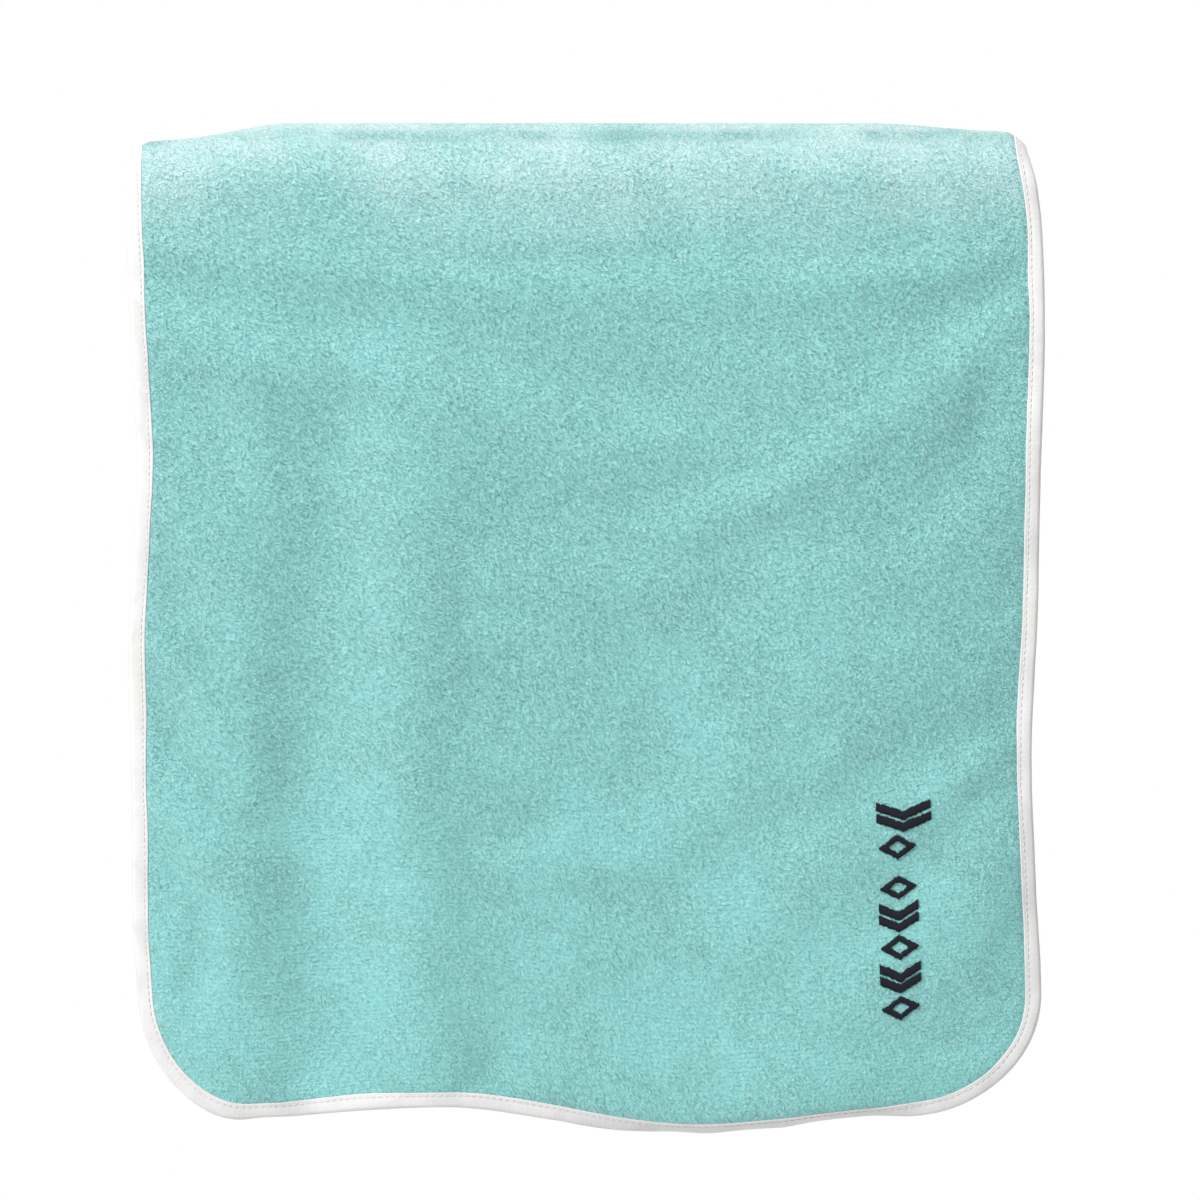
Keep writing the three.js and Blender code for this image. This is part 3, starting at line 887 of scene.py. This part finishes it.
class AddTerryCloth(PieceOperator):
    """Adds the terry cloth: one piece, rounded at its corners and pressed thin inside the tape."""

    bl_idname = "towel.terry_cloth"
    bl_label = "Terry cloth"

    # How many millimetres in from the edge the mesh's last rings lie.
    border = [12.0, 10.5, 9.2, 8.2, 7.2, 4.2, 1.2]
    # Where the pile comes free of the tape, and the length and height of its lumps.
    pile_frees = (7.0 * MM, 10.5 * MM)
    wide_lump, wide_height = 26 * MM, 0.10 * MM
    lump, lump_height = 9.5 * MM, 0.15 * MM
    # Round the motif: how far beside it, above it and below it the pile is pressed, and how deep.
    pressed_beside = 4 * MM
    pressed_above = (-6 * MM, 0)
    pressed_below = (114 * MM, 120 * MM)
    pressed_by = 0.35 * MM

    def execute(self, context):
        cut = context.scene.towel_cut
        towel = hung_cloth(context)
        mesh = mesh_from(self.blank(cut, towel), "terry_cloth")
        flat = self.piled(coordinates(mesh), cut, context.scene.towel_motif, towel)
        set_uv(mesh, np.column_stack([flat[:, 0] + towel.half_width, flat[:, 1] + towel.front_length * MM]))
        set_coordinates(mesh, towel.lifted(flat))
        finish_mesh(mesh)
        piece = add_object(context, "terry_cloth", mesh, terry_material(context.scene.towel_colours))
        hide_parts("terry_front_flap", "terry_crown_and_back_flap")
        across_the_bend(piece)
        return {"FINISHED"}

    def blank(self, cut, towel):
        """The flat cloth: a grid eased into a rounded outline, rings out to its edge, and two faces."""
        first = self.border[0] * MM
        wide, long = towel.half_width - first, towel.half_length - first
        bm = bmesh.new()
        columns, rows = round(2 * wide / cut.cell), round(2 * long / cut.cell)
        bmesh.ops.create_grid(bm, x_segments=columns, y_segments=rows, size=1.0)
        radius = towel.corner - first
        for vertex in bm.verts:
            vertex.co = self.eased(vertex.co.x * wide, vertex.co.y * long, wide, long, radius)
            vertex.co.y += towel.middle
        for last, inset in zip(self.border, self.border[1:]):
            rim = [edge for edge in bm.edges if edge.is_boundary]
            grown = bmesh.ops.extrude_edge_only(bm, edges=rim)["geom"]
            for vertex in (element for element in grown if isinstance(element, bmesh.types.BMVert)):
                vertex.co += towel.outward(vertex.co) * (last - inset) * MM
        bmesh.ops.solidify(bm, geom=bm.faces[:], thickness=cut.cloth_thickness)
        return bm

    def eased(self, x, y, wide, long, radius):
        """Eases the square corner of a grid into a quarter circle."""
        over = (abs(x) - (wide - radius)) / radius
        along = (abs(y) - (long - radius)) / radius
        if over <= 0 or along <= 0:
            return Vector((x, y, 0))
        eased_x = wide - radius + radius * over * math.sqrt(1 - along**2 / 2)
        eased_y = long - radius + radius * along * math.sqrt(1 - over**2 / 2)
        return Vector((math.copysign(eased_x, x), math.copysign(eased_y, y), 0))

    def piled(self, flat, cut, motif, towel):
        """Gives the flat cloth its thickness: uneven pile, pressed by the tape and the embroidery."""
        levels = flat[:, 2]
        side = np.where(levels > (levels.min() + levels.max()) / 2, 1.0, -1.0)
        inset = towel.inset(flat)
        free = smoothstep(inset, *self.pile_frees)
        wide_lumps = smooth_noise(flat / self.wide_lump + side[:, None] * 3, 2)
        lumps = smooth_noise(flat / self.lump + side[:, None] * 3, 3)
        uneven = self.wide_height * wide_lumps + self.lump_height * lumps
        half_motif = motif.height / 2
        beside = np.abs(flat[:, 0] - motif.across - half_motif)
        run = -flat[:, 1] - (cut.front_length - motif.to_hem)
        pressed = 1 - smoothstep(beside, half_motif, half_motif + self.pressed_beside)
        pressed = pressed * smoothstep(run, *self.pressed_above)
        pressed = pressed * (1 - smoothstep(run, *self.pressed_below))
        thick = cut.pressed_thickness + (cut.pile_thickness - cut.pressed_thickness) * free
        lift = side * (thick / 2 + uneven * free - self.pressed_by * pressed * (side > 0))
        return np.column_stack([flat[:, :2], lift])


class AddBindingTape(PieceOperator):
    """Adds the binding tape, folded over the cloth's edge all the way round, with its lapped ends."""

    bl_idname = "towel.binding_tape"
    bl_label = "Binding tape"

    # The fold's middle in from the edge, and its radius.
    fold = 1.9 * MM
    gather_pitch = 4.3 * MM
    wander_length, wander_width = 38 * MM, 0.7 * MM

    def execute(self, context):
        tape = context.scene.towel_tape
        towel = hung_cloth(context)
        section = self.section(tape)
        total = towel.seam_length(tape.seam_inset) + tape.lap
        steps = 2 * round(total / tape.stitch_pitch)
        bm = bmesh.new()
        bmesh.ops.create_grid(bm, x_segments=steps, y_segments=len(section) - 1, size=1.0)
        mesh = mesh_from(bm, "binding_tape")
        grid = coordinates(mesh)
        travel = (grid[:, 0] + 1) / 2 * total
        point = np.rint((grid[:, 1] + 1) / 2 * (len(section) - 1)).astype(int)
        strip = np.column_stack([travel, section[point]])
        self.pucker(strip, tape, towel, total)
        steps_round = np.linalg.norm(np.diff(section, axis=0), axis=1)
        round_section = np.concatenate([[0], np.cumsum(steps_round)])
        set_uv(mesh, np.column_stack([travel / SEAM_PER_UV, round_section[point]]))
        set_coordinates(mesh, towel.lifted(towel.from_strip(strip, tape.seam_inset)))
        self.close(mesh)
        piece = add_object(context, "binding_tape", mesh, tape_material(context.scene.towel_colours))
        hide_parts("binding_tape_front", "binding_tape_back")
        across_the_bend(piece)
        return {"FINISHED"}

    def section(self, tape):
        """The folded tape's section as inset and lift: out over one face, round the fold and back."""
        leg, seam, face, fold = tape.leg, tape.seam_inset, TAPE_FACE, self.fold
        top = [
            (leg, face - 0.12 * MM),
            (leg - 0.35 * MM, face + 0.02 * MM),
            (seam + 0.8 * MM, face),
            (seam, face - 0.16 * MM),
            (seam - 0.8 * MM, face + 0.02 * MM),
            ((seam + fold) / 2, face + 0.1 * MM),
        ]
        outer_turn = self.arc(fold, fold, face + 0.06 * MM, 7)
        inner_face = face - tape.thickness
        inner_turn = self.arc(fold, fold - tape.thickness, inner_face, 5)[::-1]
        outer = top + outer_turn + [(inset, -lift) for inset, lift in reversed(top)]
        under = [(leg, -inner_face), (seam, -inner_face)]
        over = [(seam, inner_face), (leg, inner_face)]
        return np.array([*outer, *under, *inner_turn, *over, outer[0]])

    def arc(self, centre, deep, high, count):
        angles = np.linspace(math.pi / 2, 3 * math.pi / 2, count)
        return [(centre + deep * math.cos(angle), high * math.sin(angle)) for angle in angles]

    def pucker(self, strip, tape, towel, total):
        """Draws the tape in at each stitch, gathers it at the corners and laps its last stretch."""
        travel, inset, lift = strip.T
        seam_pull = bump(inset - tape.seam_inset, 1.3 * MM)
        stitch = np.cos(2 * math.pi * travel / tape.stitch_pitch)
        places = np.column_stack([travel / (14 * MM), inset / (9 * MM), lift / (6 * MM)])
        waves = smooth_noise(places, 4)
        fine_waves = smooth_noise(places * 2.6, 5)
        turning = self.turning(travel, tape, towel)
        towards_leg = smoothstep(inset, 3 * MM, tape.leg)
        gathers = np.sin(2 * math.pi * travel / self.gather_pitch) * turning * towards_leg
        swell = 0.05 * MM * stitch * seam_pull + 0.1 * MM * waves
        swell = swell + 0.05 * MM * fine_waves + 0.11 * MM * gathers
        lapped = smoothstep(travel, total - tape.lap - 2 * MM, total - tape.lap + 1 * MM)
        outside = smoothstep(np.abs(lift), 1.0 * MM, 1.3 * MM)
        strip[:, 2] += np.sign(lift) * outside * (swell + lapped * (tape.thickness + 0.08 * MM))
        strip[:, 1] += -lapped * 0.5 * MM * (1 - smoothstep(inset, 0, 2 * MM)) + 0.14 * MM * waves
        runs = np.column_stack([travel / self.wander_length, np.sign(lift), 0 * travel])
        towards_leg = smoothstep(strip[:, 1], 3 * MM, tape.leg)
        strip[:, 1] += self.wander_width * smooth_noise(runs, 7) * towards_leg

    def turning(self, travel, tape, towel):
        """1 where the edge runs round a corner."""
        corner_spots, _ = towel.edge(travel, tape.seam_inset)
        over = np.abs(corner_spots[:, 0]) - (towel.half_width - towel.corner)
        along = np.abs(corner_spots[:, 1] - towel.middle) - (towel.half_length - towel.corner)
        return smoothstep(np.minimum(over, along), 0, 8 * MM)

    def close(self, mesh):
        bm = bmesh.new()
        bm.from_mesh(mesh)
        bmesh.ops.remove_doubles(bm, verts=bm.verts, dist=0.01 * MM)
        bmesh.ops.holes_fill(bm, edges=[edge for edge in bm.edges if edge.is_boundary], sides=0)
        bm.to_mesh(mesh)
        bm.free()
        finish_mesh(mesh)


def thread_row(context, count, around, along):
    """A row of equal rods with round ends, as their own coordinates from -1 to 1 and their numbers."""
    bm = bmesh.new()
    bmesh.ops.create_uvsphere(bm, u_segments=around, v_segments=along, radius=1.0)
    bmesh.ops.rotate(bm, verts=bm.verts, matrix=Matrix.Rotation(math.pi / 2, 3, "Y"))
    rod = add_object(context, "thread_row", mesh_from(bm, "thread_row"), None)
    pitch = 4.0
    row = rod.modifiers.new("Row", "ARRAY")
    row.count = count
    row.use_relative_offset = False
    row.use_constant_offset = True
    row.constant_offset_displace = (pitch, 0, 0)
    vertices = len(rod.data.vertices)
    mesh = bpy.data.meshes.new_from_object(rod.evaluated_get(context.evaluated_depsgraph_get()))
    bpy.data.objects.remove(rod)
    number = np.arange(count * vertices) // vertices
    own = coordinates(mesh)
    own[:, 0] -= number * pitch
    return mesh, number, own


def blunted(own):
    """Turns a ball's coordinates into a rod's, whose ends are short and round."""
    along = np.clip(own[:, 0], -1, 1)
    wide = np.hypot(own[:, 1], own[:, 2])
    blunt = np.maximum(1 - np.abs(along) ** 5, 0.0) ** 0.5
    scale = np.where(wide > 1e-6, blunt / np.maximum(wide, 1e-6), 0)
    return np.column_stack([along, own[:, 1] * scale, own[:, 2] * scale])


class AddSeam(PieceOperator):
    """Adds the lockstitch through the tape: needle thread outside, bobbin thread inside."""

    bl_idname = "towel.seam"
    bl_label = "Lockstitch"

    def execute(self, context):
        colours = context.scene.towel_colours
        # The darker colour is painted shade in the grooves between the plies, and the tone of the darker
        # patches.
        dark = tuple(0.86 * value for value in colours.thread)
        material = thread_material("sewing_thread", colours.thread, dark, 0.1, 0.45)
        for side, name in ((1, "needle"), (-1, "bobbin")):
            piece = self.thread(context, side, name + "_stitches", material)
            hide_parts(name + "_thread_front", name + "_thread_back")
            across_the_bend(piece)
        return {"FINISHED"}

    def thread(self, context, side, name, material):
        tape = context.scene.towel_tape
        towel = hung_cloth(context)
        seam = towel.seam_length(tape.seam_inset)
        count = round(seam / tape.stitch_pitch)
        mesh, number, own = thread_row(context, count, 6, 6)
        own = blunted(own)
        pitch = seam / count
        travel = (number + 0.5 + 0.44 * own[:, 0]) * pitch
        runs = np.column_stack([number * 0.37, number * 0.0, number * 0.0])
        sway = 0.09 * MM * smooth_noise(runs, 6 + side)
        inset = tape.seam_inset + sway + 0.05 * MM * own[:, 0] + own[:, 1] * tape.thread_radius * 1.15
        arch = TAPE_FACE + 0.1 * MM * (1 - own[:, 0] ** 2) - 0.34 * MM * own[:, 0] ** 6
        lift = side * (arch + own[:, 2] * tape.thread_radius * 0.85)
        strip = np.column_stack([travel, inset, lift])
        round_thread = 0.5 * own[:, 1] * MM + 0.5 * own[:, 2] * MM + 0.1
        set_uv(mesh, np.column_stack([travel / SEAM_PER_UV, round_thread]))
        set_coordinates(mesh, towel.lifted(towel.from_strip(strip, tape.seam_inset)))
        finish_mesh(mesh)
        return add_object(context, name, mesh, material)


class AddEmbroidery(PieceOperator):
    """Adds the motif: chevrons and diamonds of satin stitches that run down the front flap."""

    bl_idname = "towel.embroidery"
    bl_label = "Embroidery"

    run = [
        ("chevron", True),
        ("chevron", True),
        ("diamond", False),
        ("diamond", False),
        ("chevron", False),
        ("chevron", False),
        ("diamond", False),
        ("chevron", False),
        ("chevron", False),
        ("diamond", False),
    ]
    group_end = 2

    def execute(self, context):
        motif = context.scene.towel_motif
        colours = context.scene.towel_colours
        # The darker colour is painted shade in the grooves between the plies, and the tone of the darker
        # patches.
        black = tuple(0.45 * value for value in colours.navy)
        material = thread_material("embroidery", colours.navy, black, 0.0, 0.68)
        down = context.scene.towel_cut.front_length - motif.to_hem
        counts = {"chevron": 0, "diamond": 0}
        for i, (kind, tall) in enumerate(self.run):
            counts[kind] += 1
            height = motif.tall_height if tall else motif.height
            strands = self.strands(kind, height, motif, i)
            name = "satin_%s_%d" % (kind, counts[kind])
            piece = self.shape(context, name, strands, down, motif, material)
            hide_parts("embroidered_%s_%d" % (kind, counts[kind]))
            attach(piece, FLAP)
            following = self.run[i + 1][0] if i + 1 < len(self.run) else None
            down += self.length(kind, following, motif)
            down += motif.group_gap if i == self.group_end else motif.gap
        return {"FINISHED"}

    def length(self, kind, following, motif):
        if kind == "diamond":
            return motif.diamond_length
        return motif.stroke if following == "chevron" else motif.stroke + motif.chevron_depth

    def strands(self, kind, height, motif, seed):
        """Each satin stitch of a shape: its place across, its middle below the start, its length."""
        rows = []
        count = round(height / motif.strand_pitch)
        for k in range(count + 1):
            x = height * k / count
            off = abs(2 * x / height - 1)
            if kind == "chevron":
                rows.append((x, motif.chevron_depth * (1 - off) + motif.stroke / 2, motif.stroke))
                continue
            half = motif.diamond_length / 2
            eye = 1 - 1.4 * motif.stroke / motif.diamond_length
            outer, inner = half * (1 - off), half * max(eye - off, 0)
            if inner > 0.35 * MM:
                middle, long = (outer + inner) / 2, outer - inner
                rows += [(x, half - middle, long), (x, half + middle, long)]
            elif outer > 0.3 * MM:
                rows.append((x, half, 2 * outer))
        rows = np.array(rows)
        count = len(rows)
        places = np.column_stack([np.arange(count) * 0.83, np.full(count, seed * 2.7), np.zeros(count)])
        rows[:, 1] += 0.5 * MM * smooth_noise(places, 8) + 0.3 * MM * smooth_noise(places * 0.3, 12)
        rows[:, 2] += 0.4 * MM + 0.9 * MM * smooth_noise(places * 1.7, 9)
        return rows

    def shape(self, context, name, rows, down, motif, material):
        """Satin stitches on the face and, a little shorter, the bobbin's on the back."""
        towel = hung_cloth(context)
        both = np.concatenate([rows, rows])
        side = np.repeat([1.0, -1.0], len(rows))
        mesh, number, own = thread_row(context, len(both), 6, 8)
        own = blunted(own)
        x, middle, long = both[number].T
        side = side[number]
        long = np.where(side > 0, long, 0.7 * long)
        radius = np.where(side > 0, motif.strand_radius, 0.8 * motif.strand_radius)
        flat_x = motif.across + x + own[:, 1] * radius
        flat_y = -(down + middle + own[:, 0] * long / 2)
        crown = motif.rise + 0.22 * MM * (1 - own[:, 0] ** 2) - 0.7 * MM * own[:, 0] ** 8
        crown = np.where(side > 0, crown, crown - 0.12 * MM)
        lift = side * (crown + own[:, 2] * radius)
        along_stitch = 0.5 * own[:, 0] * long + 0.01 * (number % 7)
        set_uv(mesh, np.column_stack([along_stitch, 0.6 * MM * own[:, 1] + 0.5]))
        set_coordinates(mesh, towel.lifted(np.column_stack([flat_x, flat_y, lift])))
        finish_mesh(mesh)
        return add_object(context, name, mesh, material)


class AddCareLabel(PieceOperator):
    """Adds the blank care label: a folded ribbon caught under the tape inside the back hem."""

    bl_idname = "towel.care_label"
    bl_label = "Care label"

    def execute(self, context):
        label = context.scene.towel_label
        towel = hung_cloth(context)
        bm = bmesh.new()
        bmesh.ops.create_grid(bm, x_segments=20, y_segments=30, size=0.5)
        bmesh.ops.scale(bm, verts=bm.verts, vec=(label.width, label.length, 1))
        bmesh.ops.solidify(bm, geom=bm.faces[:], thickness=label.thickness)
        rim = [edge for edge in bm.edges if edge.calc_length() < 2 * label.thickness]
        bmesh.ops.subdivide_edges(bm, edges=rim, cuts=1)
        mesh = mesh_from(bm, "care_label")
        flat = coordinates(mesh)
        set_uv(mesh, flat[:, :2] + 0.1)
        away = 0.5 - flat[:, 1] / label.length
        side = np.abs(flat[:, 0]) / (label.width / 2)
        stand = label.lift + label.curl * away**2 + 0.5 * MM * away * np.cos(3 * side)
        flat[:, 2] = -(stand - flat[:, 2] + label.thickness * 0.3 * smoothstep(side, 0.86, 0.95))
        flat[:, 0] += label.across
        sewn_in = 5.0 * MM
        flat[:, 1] += context.scene.towel_cut.back_length - sewn_in - label.length / 2
        set_coordinates(mesh, towel.lifted(flat))
        finish_mesh(mesh)
        piece = add_object(context, "woven_care_label", mesh, label_material(context.scene.towel_colours))
        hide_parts("care_label")
        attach(piece, HELD)
        return {"FINISHED"}


class DeclareCloth(PieceOperator):
    """Works out the towel's cut size and area and which pieces are sewn on it; nothing is done with them.
    """

    bl_idname = "towel.declare_cloth"
    bl_label = "Declare the cloth"

    def execute(self, context):
        cut, label = context.scene.towel_cut, context.scene.towel_label
        objects = context.scene.objects
        size = (cut.width, cut.front_length + cut.back_length)
        area = size[0] * size[1] - (4 - math.pi) * cut.corner_radius**2
        sewn_on = [objects[name] for name in ("binding_tape", "needle_stitches", "bobbin_stitches")]
        sewn_on += [piece for piece in objects if piece.name.startswith("satin_")]
        return {"FINISHED"}


class AddStudio(PieceOperator):
    """Adds the camera, the plain pale floor and soft studio light."""

    bl_idname = "towel.studio"
    bl_label = "Studio"

    def execute(self, context):
        studio = context.scene.towel_studio
        low, high = CAD_BOX
        middle = (low + high) / 2
        aim = Vector((middle.x + studio.aim_across, low.y, middle.z + studio.aim_up))
        self.camera(context, studio, aim)
        self.floor(context, studio)
        self.world(context, studio)
        for name, watts, place, size in (
            ("key", studio.key, (-3.4, -2.6, 1.5), 1.3),
            ("fill", studio.fill, (2.2, -2.4, 0.2), 1.8),
            ("top", studio.top, (0.0, -0.45, 0.85), 0.9),
            ("back", studio.back, (0.9, 2.6, 1.0), 1.8),
        ):
            self.softbox(context, name, watts, Vector(place), size, middle)
        context.scene.view_settings.view_transform = "Standard"
        return {"FINISHED"}

    def camera(self, context, studio, aim):
        data = bpy.data.cameras.new("camera")
        camera = bpy.data.objects.new("camera", data)
        context.scene.collection.objects.link(camera)
        back = Vector((0, -math.cos(studio.elevation), math.sin(studio.elevation)))
        camera.location = aim + back * studio.camera_distance
        camera.rotation_euler = (-back).to_track_quat("-Z", "Y").to_euler()
        data.lens = data.sensor_width * studio.camera_distance / studio.frame_width
        data.clip_end = 100.0
        context.scene.camera = camera

    def floor(self, context, studio):
        bm = bmesh.new()
        bmesh.ops.create_grid(bm, x_segments=8, y_segments=8, size=studio.floor_size / 2)
        bmesh.ops.translate(bm, verts=bm.verts, vec=(0, 0, -studio.rail_height))
        floor = add_object(context, "floor", mesh_from(bm, "floor"), floor_material())

    def world(self, context, studio):
        """White all round, and dimmer as a light than it looks."""
        world = bpy.data.worlds.new("studio")
        world.use_nodes = True
        context.scene.world = world
        tree = world.node_tree
        background = next(node for node in tree.nodes if node.type == "BACKGROUND")
        background.inputs["Color"].default_value = (1, 1, 1, 1)
        rays = tree.nodes.new("ShaderNodeLightPath")
        strength = tree.nodes.new("ShaderNodeMapRange")
        strength.inputs["To Min"].default_value = studio.ambient
        strength.inputs["To Max"].default_value = 1.0
        tree.links.new(rays.outputs["Is Camera Ray"], strength.inputs["Value"])
        tree.links.new(strength.outputs["Result"], background.inputs["Strength"])

    def softbox(self, context, name, watts, place, size, aim):
        data = bpy.data.lights.new(name, "AREA")
        data.shape = "SQUARE"
        data.size = size
        data.energy = watts
        light = bpy.data.objects.new(name, data)
        light.location = place
        light.rotation_euler = (aim - place).to_track_quat("-Z", "Y").to_euler()
        context.scene.collection.objects.link(light)


class TowelPanel(bpy.types.Panel):
    """Lists the towel's pieces in the sidebar."""

    bl_idname = "VIEW3D_PT_towel"
    bl_label = "Quick Dry Towel"
    bl_space_type = "VIEW_3D"
    bl_region_type = "UI"
    bl_category = "Towel"

    def draw(self, context):
        for step in STEPS:
            self.layout.operator(step.bl_idname)


SETTINGS = {
    "towel_cut": TowelCut,
    "towel_settling": TowelSettling,
    "towel_tape": TowelTape,
    "towel_motif": TowelMotif,
    "towel_label": TowelLabel,
    "towel_colours": TowelColours,
    "towel_studio": TowelStudio,
}
STEPS = [
    AddStudio,
    SettleCloth,
    AddTerryCloth,
    AddBindingTape,
    AddSeam,
    AddEmbroidery,
    AddCareLabel,
    DeclareCloth,
]


def register():
    for group in SETTINGS.values():
        bpy.utils.register_class(group)
    for name, group in SETTINGS.items():
        setattr(bpy.types.Scene, name, bpy.props.PointerProperty(type=group))
    for step in (*STEPS, TowelPanel):
        bpy.utils.register_class(step)


def unregister():
    for step in (TowelPanel, *reversed(STEPS)):
        bpy.utils.unregister_class(step)
    for name, group in SETTINGS.items():
        delattr(bpy.types.Scene, name)
        bpy.utils.unregister_class(group)


def main():
    register()
    for step in STEPS:
        category, name = step.bl_idname.split(".")
        getattr(getattr(bpy.ops, category), name)()


if __name__ == "__main__":
    main()
